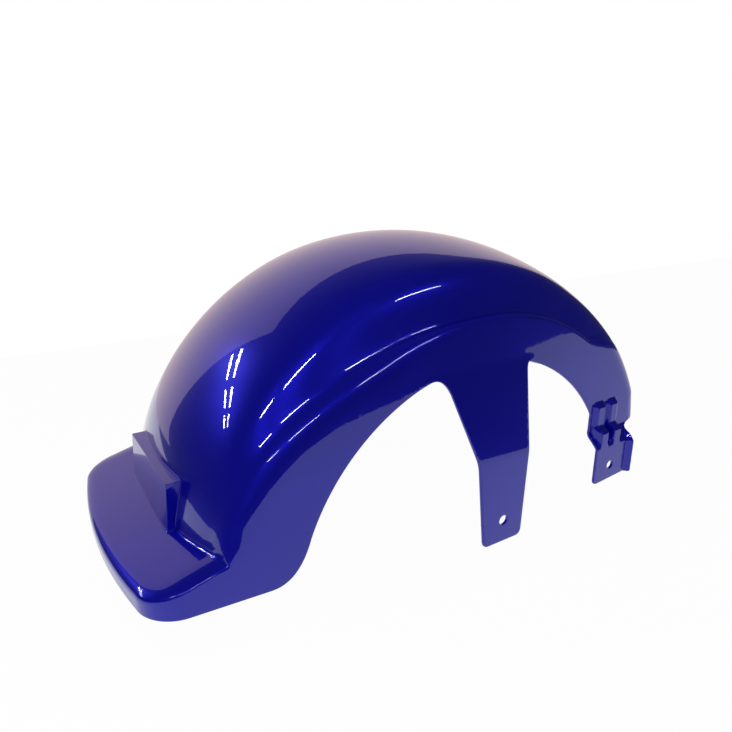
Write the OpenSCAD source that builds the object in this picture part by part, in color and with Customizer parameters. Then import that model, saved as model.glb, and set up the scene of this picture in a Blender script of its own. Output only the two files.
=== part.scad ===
// Rear fender of a fat-tyre scooter, one moulding: an arched shell with flat side
// skirts, a tail shelf with a turned-down lip, a hollow lamp box on the shelf,
// a slanted leg on each side and a joggled foot on the right, for the fixing bolts.
// +X is forward, +Y left, +Z up. Shapes are worked out around the wheel's axle,
// then the part moves so that the origin lies midway between the leg bolts.

/* [Arch] */
// Width across the flat side skirts
fender_w = 269; // [255:1:285]
// Radius of the wheel opening around the axle
opening_r = 192; // [186:1:198]
// Height of the crown's top above the axle
crown_top = 297.5; // [293:0.5:305]
// Radius of the crown line, seen from the side
crown_r = 278.5; // [275:0.5:284]
// How far the dome falls from the crown to the skirts
dome_drop = 28; // [24:1:32]
// Height of the skirt above the opening, at the top of the arch
skirt_h = 40; // [36:1:46]
// Direction of the shell's front edge, in degrees above the forward axis
front_angle = 20; // [18:1:24]
// How far forward of the axle the skirts reach
nose_x = 234; // [230:1:238]
// Thickness of the moulding
wall = 3; // [2.5:0.1:3.5]

/* [Tail shelf] */
// Distance from the axle back to the tail's end
tail_x = 324; // [316:1:334]
// Height of the shelf above the axle, at its rear end
tail_z = 56; // [53:0.5:60]
// Slope of the shelf, falling to the rear
shelf_tilt = 15; // [13:0.5:17]
// Height of the lip's lower edge above the axle, where it leaves the opening
lip_z = 35.5; // [33:0.5:38]
// How much the rear edge bows out at its middle
tail_bow = 10; // [4:1:14]
// Radius of the tail's corners, seen from above
tail_corner_r = 33; // [26:1:38]
// Rounding between the shelf and its lip
shelf_round = 9; // [6:0.5:11]

/* [Lamp box] */
// Width of the lamp box
lamp_w = 120; // [100:1:140]
// Height of the lamp box's top above the axle
lamp_top = 114; // [106:1:118]
// Distance from the axle back to the lamp panel's top edge
lamp_x = 272; // [271:0.5:276]

/* [Legs and feet] */
// How far the bolting plates stand out from the skirts
stance = 13; // [10:1:16]
// Position of the leg's bolt hole forward of the axle
leg_x = 26; // [22:1:30]
// Position of the leg's bolt hole above the axle
leg_z = 27; // [24:1:32]
// Width of the leg's lower end
leg_w = 50; // [44:1:56]
// Height of the bend where the slanted leg turns upright
leg_bend_z = 96; // [88:1:104]
// Diameter of the leg's bolt hole
leg_hole_d = 10; // [8:0.5:12]
// Position of the foot's bolt hole forward of the axle
foot_x = 186; // [183:1:190]
// Position of the foot's bolt hole above the axle
foot_z = 44; // [42:1:48]
// Diameter of the foot's bolt hole
foot_hole_d = 9; // [7:0.5:10]

/* [Hidden] */
PAINT = [0.09, 0.09, 0.6];
DOME_N = 44; // steps along the dome
SIDE_N = 3; // steps along the shelf's straight sides
CORNER_N = 4; // steps round half of a tail corner
ROOF_N = 22; // steps across the roof
ROUND_N = 4; // steps round the edge between roof and skirt
TAIL_N = SIDE_N + CORNER_N;

half_w = fender_w / 2;
plate_y = half_w + stance; // outer face of the bolting plates
crown_x = -4; // centre of the crown's circle
crown_z = crown_top - crown_r;
tilt = tan(shelf_tilt);
shelf_z0 = tail_z + tilt * tail_x; // height of the shelf's plane over the axle
lip_rise = 0.055; // the lip's lower edge rises gently to the rear
tuck = 5; // how much the dome draws in above the shelf

function unit(t) = min(1, max(0, t));
function ease(t) = let (c = unit(t)) c * c * (3 - 2 * c);
function mix(a, b, t) = a + (b - a) * t;
function bezier(p, q, r, t) = mix(mix(p, q, t), mix(q, r, t), t);
function bezier3(p, q, r, s, t) = mix(bezier(p, q, r, t), bezier(q, r, s, t), t);
function smooth_max(a, b, k) = max(a, b) + pow(max(k - abs(a - b), 0), 2) / (4 * k);
function polar(r, a, y) = [r * cos(a), y, r * sin(a)];
function normalized(v) = v / norm(v);

// Rules of the shell. Angle a runs round the axle, from forward over the top.
// Radius of the crown line
function crown(a) =
    let (c = crown_x * cos(a) + crown_z * sin(a))
    c + sqrt(crown_r * crown_r - crown_x * crown_x - crown_z * crown_z + c * c)
    - tuck * ease((a - 150) / 16);
// Fall from the crown to the skirt's plane
function drop(a) = dome_drop - tuck * (ease((a - 150) / 16) + ease((62 - a) / 20));
// Radius of the skirt's top edge: low at the top, rising forward and to the rear
function skirt(a) = min(
    opening_r + skirt_h + 0.2 * max(0, 90 - a) + 18 * ease((54 - a) / 14)
    + (crown(a) - drop(a) - opening_r - skirt_h) * ease((a - 114) / 46),
    nose_x / cos(min(a, 60)));
// Rounding of that edge, across the roof and down the skirt: crisp at the top
// of the arch, wide over the rear flank, and the shelf's own where they meet
function nose(a) = ease((54 - a) / 14);
function flank(a) = ease((a - 90) / 30);
function tail(a) = ease((a - 148) / 14);
function round_in(a) = mix(4 + 8 * nose(a) + 8 * flank(a), shelf_round, tail(a));
function round_down(a) = mix(4 + 8 * nose(a) + 18 * flank(a), shelf_round, tail(a));
// Between the dome and the skirt's top edge lies a ledge, which fades to the rear.
function ledge_w(a) = 4 + 4 * ease((a - 50) / 16) + 9 * flank(a);
function ledge(a, y) =
    let (d = min(24, half_w - abs(y)))
    skirt(a) + (0.12 + 0.35 * flank(a)) * (d - d * d / 48);
function valley(a) = 4 + 20 * flank(a) * (1 - ease((a - 124) / 30));
// How sharply the dome falls at its sides
function flank_power(a) = 26 - 12 * flank(a);
function dome(a, y) =
    crown(a) - drop(a) * pow(y / half_w, 2)
    - max(0, crown(a) - drop(a) - skirt(a)) * pow(abs(y) / (half_w - ledge_w(a)), flank_power(a));
function roof(a, y) = smooth_max(ledge(a, y), dome(a, y), valley(a));
// Slope of the roof across the fender
function roof_slope(a, y) = (roof(a, y + 0.2) - roof(a, y - 0.2)) / 0.4;
function roof_normal(a, y) =
    let (r = roof(a, y), along = (roof(a + 0.2, y) - roof(a - 0.2, y)) / (0.4 * PI / 180) / r)
    normalized([cos(a) + along * sin(a), -roof_slope(a, y), sin(a) - along * cos(a)]);

// The shelf is a plane that falls to the rear.
function shelf(x) = shelf_z0 + tilt * x;
shelf_normal = [-sin(shelf_tilt), 0, cos(shelf_tilt)];
// Angle at which a line of radius r meets the shelf
function shelf_angle(r) = shelf_tilt + 180 - asin(shelf_z0 * cos(shelf_tilt) / r);
// Angle of the crease where the dome comes down to the shelf
function crease(y) =
    let (a = shelf_angle(roof(165, y)), b = shelf_angle(roof(a, y)))
    shelf_angle(roof(b, y));
function crease_x(y) = let (a = crease(y)) shelf_z0 / (tan(a) - tilt);
// Where the crease meets the rounded side edge
crease_end = crease(half_w - shelf_round);
crease_end_x = crease_x(half_w - shelf_round);

// Outline of the tail, seen from above, drawn in by d
corner_x = tail_bow + tail_corner_r - tail_x;
corner_y = half_w - tail_corner_r;
bow_angle = atan(2 * tail_bow / half_w);
split = 45; // the side and the rear share a corner at this angle
function rear_x(y, d) =
    let (r = tail_corner_r - d, end_y = corner_y + r * sin(bow_angle), v = abs(y))
    v > end_y ? corner_x - sqrt(max(0, r * r - pow(v - corner_y, 2)))
    : corner_x - r * cos(bow_angle) - tail_bow * (1 - pow(v / end_y, 2));
function rear_y(d) = corner_y + (tail_corner_r - d) * cos(split);
// Station k of the shelf's side: [x, y, direction of the outline's normal]
function side_station(k) =
    let (p = split * (k - SIDE_N) / CORNER_N)
    k <= SIDE_N ? [mix(crease_end_x, corner_x, k / SIDE_N), half_w, 0]
    : [corner_x - tail_corner_r * sin(p), corner_y + tail_corner_r * cos(p), p];

// Lower edge of the skirt: the wheel's arc, a round corner, then the lip. Its
// stations run ahead of the roof's, from the angle ahead on.
function lip(x) = lip_z + lip_rise * (-1.08 * opening_r - x);
ahead = 126;
arc_end = 158;
lip_start = -1.12 * opening_r;
lip_lag = 18; // how far the lip's stations lie forward of the shelf's
function lower_edge(a) =
    let (t = (a - ahead) / (crease_end - ahead), b = mix(ahead, arc_end, t / 0.55),
        x = mix(lip_start, crease_end_x + lip_lag, (t - 0.85) / 0.15))
    t <= 0 ? [opening_r * cos(a), opening_r * sin(a)]
    : t <= 0.55 ? [opening_r * cos(b), opening_r * sin(b)]
    : t <= 0.85 ? bezier([opening_r * cos(arc_end), opening_r * sin(arc_end)],
        [-0.99 * opening_r, lip(-opening_r)], [lip_start, lip(lip_start)], (t - 0.55) / 0.3)
    : [x, lip(x)];

// A column of [point, normal] from the lower edge up and over the rounded edge.
// The rounding leaves the wall along rise and meets the roof along run.
function column(low, wall_top, rise, edge, run, out, up) = concat(
    [[low, out]],
    [for (k = [0:ROUND_N]) [bezier3(wall_top, wall_top + rise, edge + run, edge, k / ROUND_N),
        normalized(mix(out, up, k / ROUND_N))]]);
function dome_column(a) =
    let (y = half_w - round_in(a), low = lower_edge(a), slope = roof_slope(a, y),
        base = polar(skirt(a) - round_down(a), a, half_w), edge = polar(roof(a, y), a, y),
        h = 0.4 * norm(edge - base))
    column([low[0], half_w, low[1]], base, polar(h, a, 0), edge,
        h * normalized(polar(slope, a, 1)), [0, 1, 0], roof_normal(a, y));
function shelf_column_at(low, x, y, out) =
    let (d = shelf_round, xi = x - d * out[0])
    column(low, [x, y, shelf(x) - d], [0, 0, 0.55 * d], [xi, y - d * out[1], shelf(xi)],
        0.55 * d * [out[0], out[1], tilt * out[0]], out, shelf_normal);
function shelf_column(k) =
    let (s = side_station(k), x = s[0] + lip_lag * max(0, 1 - k / SIDE_N))
    shelf_column_at([x, s[1], lip(x)], s[0], s[1], [-sin(s[2]), cos(s[2]), 0]);

// Rows of the outer surface: column up one side, across the roof, down the other
across = [for (j = [1:ROOF_N - 1]) sin(90 * (2 * j / ROOF_N - 1))];
function mirrored(c) = [[c[0][0], -c[0][1], c[0][2]], [c[1][0], -c[1][1], c[1][2]]];
function row(col, middle) = concat(
    [for (c = col) mirrored(c)], middle, [for (k = [1:len(col)]) col[len(col) - k]]);
function dome_row(i) =
    let (s = i / DOME_N, a_side = mix(front_angle, crease_end, s),
        edge_y = half_w - round_in(a_side))
    row(dome_column(a_side), [for (v = across)
        let (y = v * edge_y, a = mix(front_angle, crease(y), s))
        [polar(roof(a, y), a, y), roof_normal(a, y)]]);
function shelf_row(k) =
    let (col = shelf_column(k), edge = col[len(col) - 1][0],
        last = rear_x(rear_y(shelf_round), shelf_round),
        q = (edge[0] - crease_end_x) / (last - crease_end_x))
    row(col, [for (v = across)
        let (x = mix(crease_x(v * (half_w - shelf_round)), rear_x(v * rear_y(shelf_round),
                shelf_round), q))
        [[x, v * edge[1], shelf(x)],
            k == 0 ? 1.2 * normalized(shelf_normal + roof_normal(crease(v * edge[1]), v * edge[1]))
            : shelf_normal]]);
// Rear lip: one column for each line across the roof, without the shared corners
function lip_column(v) =
    let (y = v * rear_y(0), x = rear_x(y, 0),
        out = normalized([-1, (rear_x(y + 0.1, 0) - rear_x(y - 0.1, 0)) / 0.2, 0]))
    shelf_column_at([x, y, lip(x)], x, y, out);

module shell() {
    rows = concat([for (i = [0:DOME_N - 1]) dome_row(i)], [for (k = [0:TAIL_N]) shelf_row(k)]);
    last = len(rows) - 1;
    side = ROUND_N + 2; // points in a column
    width = len(rows[0]);
    lip = [for (v = across) lip_column(v)];
    skin = concat([for (r = rows) each r], [for (c = lip) for (k = [0:side - 2]) c[k]]);
    count = len(skin);
    // index of level k of the rear lip, under line j of the roof
    function rear(j, k) = j == 0 ? last * width + k : j == ROOF_N ? (last + 1) * width - 1 - k
        : k == side - 1 ? last * width + side - 1 + j
        : (last + 1) * width + (j - 1) * (side - 1) + k;
    quads = concat(
        [for (i = [0:last - 1]) for (j = [0:width - 2]) let (p = i * width + j)
            [p, p + 1, p + 1 + width, p + width]],
        [for (j = [0:ROOF_N - 1]) for (k = [0:side - 2])
            [rear(j, k), rear(j, k + 1), rear(j + 1, k + 1), rear(j + 1, k)]]);
    // open border of the skin, as a loop: front edge, far side, rear, near side
    border = concat(
        [for (j = [0:width - 2]) j], [for (i = [0:last - 1]) i * width + width - 1],
        [for (j = [0:ROOF_N - 1]) rear(ROOF_N - j, 0)], [for (i = [0:last - 1]) (last - i) * width]);
    polyhedron(
        points = concat([for (s = skin) s[0]], [for (s = skin) s[0] - wall * s[1]]),
        faces = concat(
            [for (q = quads) each [[q[2], q[1], q[0]], [q[3], q[2], q[0]]]],
            [for (q = quads) each [[q[0] + count, q[1] + count, q[2] + count],
                [q[0] + count, q[2] + count, q[3] + count]]],
            [for (n = [0:len(border) - 1])
                let (p = border[n], q = border[(n + 1) % len(border)])
                each [[p + count, p, q], [q + count, p + count, q]]]),
        convexity = 8);
}

// Point of the dome at height z, drawn in by d
function dome_at(y, z, d) =
    let (r0 = roof(158, y) - d, r1 = roof(180 - asin(z / r0), y) - d,
        r = roof(180 - asin(z / r1), y) - d)
    [-sqrt(r * r - z * z), y, z];
lean = 2.5; // how much further back the lamp panel's foot is
module upright(y0, y1) translate([0, y1, 0]) rotate([90, 0, 0]) linear_extrude(y1 - y0) children();
module lamp_box() {
    foot = shelf(-lamp_x - lean) - wall / 2;
    side_y = lamp_w / 2;
    upright(-side_y, side_y) polygon([[-lamp_x - lean, foot], [-lamp_x - lean + wall, foot],
        [-lamp_x + wall, lamp_top], [-lamp_x, lamp_top]]);
    translate([0, 0, lamp_top - wall]) linear_extrude(wall) polygon(concat(
        [[-lamp_x, side_y], [-lamp_x, -side_y]],
        [for (j = [-8:8]) let (p = dome_at(j / 8 * side_y, lamp_top, wall / 2)) [p[0], p[1]]]));
    for (s = [-1, 1]) upright(min(s * side_y, s * (side_y - wall)), max(s * side_y, s * (side_y - wall)))
        polygon(concat([[-lamp_x, lamp_top], [-lamp_x - lean, foot]],
            [for (j = [0:8]) let (p = dome_at(side_y, mix(foot + wall, lamp_top, j / 8), wall / 2))
                [p[0], p[2]]]));
}
module lamp_hollow() {
    y = lamp_w / 2 - wall;
    foot = shelf(-lamp_x - lean) + 1;
    upright(-y, y) polygon([[-lamp_x - lean + wall / 2, foot], [-lamp_x + wall / 2, lamp_top - wall],
        [-lamp_x + 40, lamp_top - wall], [-lamp_x + 40, foot]]);
}

// A strip that runs down the left side: corner points [y, z] of its outer face
module strip(face, x0, x1) translate([x0, 0, 0]) rotate([90, 0, 90]) linear_extrude(x1 - x0)
    polygon(concat(face, [for (k = [1:len(face)]) face[len(face) - k] - [wall, 0]]));
module hole(x, z, d) translate([x, plate_y + 1, z]) rotate([90, 0, 0])
    cylinder(h = wall + 2, d = d, $fn = 48);

leg_root = opening_r - 4; // height at which the leg starts to lean out
sink = 0.5; // how far legs and feet lie below the skirt's face where they overlap
leg_foot = leg_z - 24;
module leg() {
    left = leg_x - leg_w / 2;
    right = leg_x + leg_w / 2;
    corner = 7;
    arc_z = function (x) sqrt(opening_r * opening_r - x * x) + 0.5;
    difference() {
        intersection() {
            strip([[half_w - sink, opening_r + 8], [half_w - sink, leg_root],
                [plate_y, leg_bend_z], [plate_y, leg_foot]], -80, 90);
            upright(half_w - 2 * wall, plate_y + wall) polygon(concat(
                [[-66, opening_r + 8], [-66, arc_z(-66)]],
                [for (t = [0:0.2:1]) bezier([-60, arc_z(-60)], [-47, arc_z(-47)], [-38, 168], t)],
                [[left - 10.5, leg_bend_z]],
                [for (t = [0:0.25:1]) bezier([left - 0.5, leg_foot + corner], [left, leg_foot],
                    [left + corner, leg_foot], t)],
                [for (t = [0:0.25:1]) bezier([right - corner, leg_foot], [right, leg_foot],
                    [right + 0.5, leg_foot + corner], t)],
                [[right + 4, leg_bend_z]],
                [for (t = [0:0.2:1]) bezier([56, 174], [56, arc_z(56)], [60, arc_z(60)], t)],
                [[64, arc_z(64)], [64, opening_r + 8]]));
        }
        hole(leg_x, leg_z, leg_hole_d);
    }
}

joggle_top = 81;
joggle_z = 69;
foot_low = foot_z - 19;
foot_rear = foot_x - 25;
foot_front = foot_x + 30;
rib_step = 5; // how far the ribs stand out above the joggle
module foot() {
    corner = 6;
    top = 112;
    flange = 6;
    difference() {
        intersection() {
            strip([[half_w - sink, top], [half_w - sink, joggle_top], [plate_y, joggle_z],
                [plate_y, foot_low]], foot_rear, foot_front);
            upright(half_w - 2 * wall, plate_y + wall) polygon(concat(
                [[foot_rear, top]],
                [for (t = [0:0.25:1]) bezier([foot_rear, foot_low + corner], [foot_rear, foot_low],
                    [foot_rear + corner, foot_low + 0.5], t)],
                [[foot_front, foot_low + 4.5], [foot_front, top]]));
        }
        hole(foot_x, foot_z, foot_hole_d);
    }
    // flange turned outward along the foot's front edge
    translate([foot_front - wall, 0, 0]) rotate([90, 0, 90]) linear_extrude(wall) polygon([
        [half_w - 2, joggle_top + 6], [half_w, joggle_top + 6], [plate_y + flange - 2, joggle_z + 9],
        [plate_y + flange, joggle_z + 6], [plate_y + flange, foot_low + 8], [plate_y - 1, foot_low + 5],
        [plate_y - 1, joggle_z], [half_w - 2, joggle_top]]);
    // two ribs that stiffen the joggle
    for (x = [foot_x - 20.5, foot_x + 0.5]) translate([x, 0, 0]) rotate([90, 0, 90])
        linear_extrude(13.5) polygon([[half_w - 1.5, 118], [half_w, 118], [half_w + rib_step, 113],
            [half_w + rib_step, 90], [plate_y, 86], [plate_y, joggle_z - 3], [plate_y - 1.5, joggle_z - 3],
            [half_w - 1.5, joggle_top - 1]]);
}

module fender() color(PAINT) translate([-leg_x, 0, -leg_z]) {
    difference() {
        shell();
        lamp_hollow();
    }
    lamp_box();
    leg();
    mirror([0, 1, 0]) {
        leg();
        foot();
    }
}

fender();
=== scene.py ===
"""Rear fender of a fat-tyre scooter in glossy blue paint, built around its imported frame.

The file is laid out as an add-on and is run as a script. +X is forward, +Y left, +Z up.
The shell's rules work in millimetres and degrees round the wheel's axle, and every mesh is
moved so that the origin lies midway between the leg bolts, as the frame has it.
"""
import math
from types import SimpleNamespace

import bmesh
import bpy
import numpy as np
from bpy.props import FloatProperty, FloatVectorProperty, PointerProperty
from mathutils import Matrix, Vector
from mathutils.geometry import delaunay_2d_cdt


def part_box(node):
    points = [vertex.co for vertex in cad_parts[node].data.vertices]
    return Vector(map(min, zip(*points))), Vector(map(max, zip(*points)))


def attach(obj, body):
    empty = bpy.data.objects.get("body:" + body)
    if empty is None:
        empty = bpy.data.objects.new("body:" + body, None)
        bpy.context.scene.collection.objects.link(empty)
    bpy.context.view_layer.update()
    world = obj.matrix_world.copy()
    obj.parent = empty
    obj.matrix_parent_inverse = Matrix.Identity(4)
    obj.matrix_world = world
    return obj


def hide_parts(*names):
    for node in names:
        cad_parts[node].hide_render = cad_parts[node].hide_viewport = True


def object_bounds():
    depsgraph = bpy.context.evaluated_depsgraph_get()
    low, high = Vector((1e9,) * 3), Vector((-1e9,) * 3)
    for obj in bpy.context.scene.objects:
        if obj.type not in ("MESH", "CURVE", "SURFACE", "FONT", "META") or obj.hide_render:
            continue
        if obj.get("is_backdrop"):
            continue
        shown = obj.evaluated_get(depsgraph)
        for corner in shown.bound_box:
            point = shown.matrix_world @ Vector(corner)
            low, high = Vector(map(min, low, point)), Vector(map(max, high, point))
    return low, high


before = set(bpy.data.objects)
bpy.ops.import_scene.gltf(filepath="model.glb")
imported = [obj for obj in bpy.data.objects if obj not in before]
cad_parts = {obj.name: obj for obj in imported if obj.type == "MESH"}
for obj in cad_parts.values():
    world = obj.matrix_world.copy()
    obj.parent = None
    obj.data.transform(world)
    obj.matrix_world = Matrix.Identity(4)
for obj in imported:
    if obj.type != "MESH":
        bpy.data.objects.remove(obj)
CAD_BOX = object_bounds()

bl_info = {
    "name": "Rear Fender",
    "version": (1, 0, 0),
    "blender": (4, 5, 0),
    "location": "View3D > Sidebar > Fender",
    "description": "Builds a scooter's rear fender and its studio",
    "category": "Add Mesh",
}

MM = 0.001
DEG = math.pi / 180
NODE = "fender"
BODY = "root"

LOW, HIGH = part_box(NODE)
LEG_X, LEG_Z = 26.0, 27.0  # where the leg bolts lie, forward of the axle and above it
FLANGE = (-LOW[1] - HIGH[1]) / MM  # how much further out than the legs the foot's edge stands

# Steps of the meshes
DOME_ROWS = 170
ROOF_COLUMNS = 84
ROUND_STEPS = 8
CREASE_STEPS = 5
SIDE_ROWS = 14
CORNER_ROWS = 12
WALL_STEPS = 5
HOLE_POINTS = 40
CURVE_STEPS, KNEE_STEPS, END_STEPS, TOE_STEPS, LIP_STEPS = 10, 5, 8, 6, 12
LEG_GAP, FOOT_GAP, FRONT_GAP, LIP_GAP = 3.5, 2.0, 4.0, 5.0  # widest gaps in the outlines
COARSE, MEDIUM, FINE = 6.0, 3.0, 1.3  # sizes of the flat sides' triangles, in millimetres
MERGE = 0.02 * MM  # points of a mesh closer than this are one
SAME = 1e-5  # and points of an outline, in millimetres
NO_RISE = 1e-9  # stands in for the rise of a level edge


def is_field(value):
    return isinstance(value, Field)


class Field:
    """A number in a node tree, so that one rule serves plain numbers and nodes alike.
    The same step on the same values is made once."""
    made = {}

    def __init__(self, tree, socket):
        self.tree = tree
        self.socket = socket

    def step(self, operation, *values):
        key = (self.tree.name, operation, *(v.socket.as_pointer() if is_field(v) else v
                                            for v in values))
        if key in self.made:
            return self.made[key]
        node = self.tree.nodes.new("ShaderNodeMath")
        node.operation = operation
        for socket, value in zip(node.inputs, values):
            if is_field(value):
                self.tree.links.new(value.socket, socket)
            else:
                socket.default_value = value
        self.made[key] = Field(self.tree, node.outputs[0])
        return self.made[key]

    def __add__(self, other):
        return self.step("ADD", self, other)

    def __sub__(self, other):
        return self.step("SUBTRACT", self, other)

    def __mul__(self, other):
        return self.step("MULTIPLY", self, other)

    def __truediv__(self, other):
        return self.step("DIVIDE", self, other)

    def __rsub__(self, other):
        return self.step("SUBTRACT", other, self)

    def __pow__(self, other):
        return self.step("POWER", self, other)

    __radd__ = __add__
    __rmul__ = __mul__


def either(operation, plain):
    """A function of one or two values that runs on plain numbers or on fields."""
    def run(*values):
        field = next((v for v in values if is_field(v)), None)
        return plain(*values) if field is None else field.step(operation, *values)
    return run


lower = either("MINIMUM", min)
higher = either("MAXIMUM", max)
size_of = either("ABSOLUTE", abs)
root = either("SQRT", math.sqrt)
arcsine = either("ARCSINE", math.asin)
sine = either("SINE", math.sin)
cosine = either("COSINE", math.cos)


def sin_of(a):
    return sine(a * DEG)


def cos_of(a):
    return cosine(a * DEG)


def unit(t):
    return lower(1.0, higher(0.0, t))


def ease(t):
    c = unit(t)
    return c * c * (3.0 - 2.0 * c)


def mix(a, b, t):
    return a + (b - a) * t


def smooth_max(a, b, k):
    return higher(a, b) + higher(k - size_of(a - b), 0.0) ** 2.0 / (4.0 * k)


def past(a, change):
    """How far a is through a change, from 0 to 1: it starts at change[0] and runs on for
    change[1], backwards where that is below 0."""
    start, width = change
    return ease((a - start) / width)


# Changes of the shell's rules, in degrees round the axle
TOP = 90.0  # straight up
TUCK_REAR, TUCK_FRONT = (150.0, 16.0), (62.0, -20.0)
SKIRT_REAR = (114.0, 46.0)
NOSE = (54.0, -14.0)
FLANK = (90.0, 30.0)
TAIL = (156.0, 7.0)
LEDGE_REAR = (50.0, 16.0)
VALLEY_END = (124.0, 30.0)
NOSE_LIMIT = 60.0  # the nose's upright line counts in front of this angle
CREASE_NEAR = 165.0  # roughly where the dome comes down to the shelf
CREASE_GAP = 0.6  # kept free for the small fillet between dome and shelf
FRONT_ARCH = 1.6  # by which the front edge is higher at its middle
ARC_END = 158.0  # where the wheel opening runs out into the lip
CORNER_SPLIT = 45.0  # the side and the rear share a corner at this angle

# Sizes of the shell's rules, in millimetres
CROWN_X = -4.0  # centre of the crown's circle
TUCK = 5.0  # how much the dome draws in above the shelf
FRONT_RISE, NOSE_RISE = 0.2, 18.0  # the skirt's growth per degree forward, and at the nose
EDGE_ROUND = 4.0  # rounding of the side edge
NOSE_ROUND, FLANK_IN, FLANK_DOWN = 8.0, 8.0, 18.0  # and its growth at the nose and the flank
LEDGE_REACH = 24.0  # the ledge between skirt and dome rises up to this far from the side
LEDGE_RISE, LEDGE_FLANK = 0.12, 0.35  # its slope, and what the slope gains on the flank
LEDGE_WIDTHS = (4.0, 4.0, 9.0)  # its width, what it gains to the rear, and on the flank
SHOULDER, SHOULDER_FLANK = 26.0, 12.0  # how square the shoulder is, and how much less behind
VALLEY, VALLEY_FLANK = 4.0, 20.0  # how softly ledge and dome meet, and what the flank adds
CREASE_FILLET = 2.2  # reach of the fillet between dome and shelf
LIP_RISE, LIP_LEVEL = 0.055, 1.08  # the lip's slope, and the opening radii where it starts
SLOPE_STEP = 0.2  # half the width over which a slope is measured


class Rules:
    """Rules of the shell. Angle a runs round the axle in degrees, from forward over the top."""

    def __init__(self, sizes):
        for name, value in sizes.items():
            setattr(self, name, value)
        self.half_w = self.fender_w / 2.0
        self.crown_z = self.crown_top - self.crown_r
        self.tilt = sin_of(self.shelf_tilt) / cos_of(self.shelf_tilt)
        self.shelf_z0 = self.tail_z + self.tilt * self.tail_x
        self.side_y = self.half_w - self.shelf_soft

    def crown(self, a):
        c = CROWN_X * cos_of(a) + self.crown_z * sin_of(a)
        reach = self.crown_r * self.crown_r - CROWN_X * CROWN_X - self.crown_z * self.crown_z
        return c + root(reach + c * c) - TUCK * past(a, TUCK_REAR)

    def drop(self, a):
        return self.dome_drop - TUCK * (past(a, TUCK_REAR) + past(a, TUCK_FRONT))

    def skirt(self, a):
        low = self.opening_r + self.skirt_h
        rise = FRONT_RISE * higher(0.0, TOP - a) + NOSE_RISE * past(a, NOSE)
        back = (self.crown(a) - self.drop(a) - low) * past(a, SKIRT_REAR)
        return lower(low + rise + back, self.nose_x / cos_of(lower(a, NOSE_LIMIT)))

    def rounded(self, a, flank, tail):
        """Size of the side edge's rounding, from its growth on the flank to the tail's."""
        arch = EDGE_ROUND + NOSE_ROUND * past(a, NOSE) + flank * past(a, FLANK)
        return mix(arch, tail, past(a, TAIL))

    def round_in(self, a):
        return self.rounded(a, FLANK_IN, self.shelf_soft)

    def round_down(self, a):
        return self.rounded(a, FLANK_DOWN, self.shelf_round)

    def edge_y(self, a):
        return self.half_w - self.round_in(a)

    def ledge(self, a, y):
        d = lower(LEDGE_REACH, self.half_w - size_of(y))
        rise = LEDGE_RISE + LEDGE_FLANK * past(a, FLANK)
        return self.skirt(a) + rise * (d - d * d / (2.0 * LEDGE_REACH))

    def dome(self, a, y):
        width, rear, flank = LEDGE_WIDTHS
        ledge_w = width + rear * past(a, LEDGE_REAR) + flank * past(a, FLANK)
        top = self.crown(a)
        drop = self.drop(a)
        share = size_of(y) / (self.half_w - ledge_w)
        square = SHOULDER - SHOULDER_FLANK * past(a, FLANK)
        side = higher(0.0, top - drop - self.skirt(a)) * share ** square
        return top - drop * (y / self.half_w) * (y / self.half_w) - side

    def roof(self, a, y):
        valley = VALLEY + VALLEY_FLANK * past(a, FLANK) * (1.0 - past(a, VALLEY_END))
        return smooth_max(self.ledge(a, y), self.dome(a, y), valley)

    def slope(self, a, y):
        rise = self.roof(a, y + SLOPE_STEP) - self.roof(a, y - SLOPE_STEP)
        return rise / (2.0 * SLOPE_STEP)

    def shelf(self, x):
        return self.shelf_z0 + self.tilt * x

    def shelf_angle(self, r):
        return self.shelf_tilt + 180.0 - arcsine(self.shelf_z0 * cos_of(self.shelf_tilt) / r) / DEG

    def crease(self, y):
        """Angle at which the dome comes down to the shelf, found step by step."""
        a = CREASE_NEAR
        for _ in range(3):
            a = self.shelf_angle(self.roof(a, y))
        return a

    def crease_x(self, y):
        a = self.crease(y)
        return self.roof(a, y) * math.cos(a * DEG)

    def lip(self, x):
        return self.lip_z + LIP_RISE * (-LIP_LEVEL * self.opening_r - x)


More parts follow.
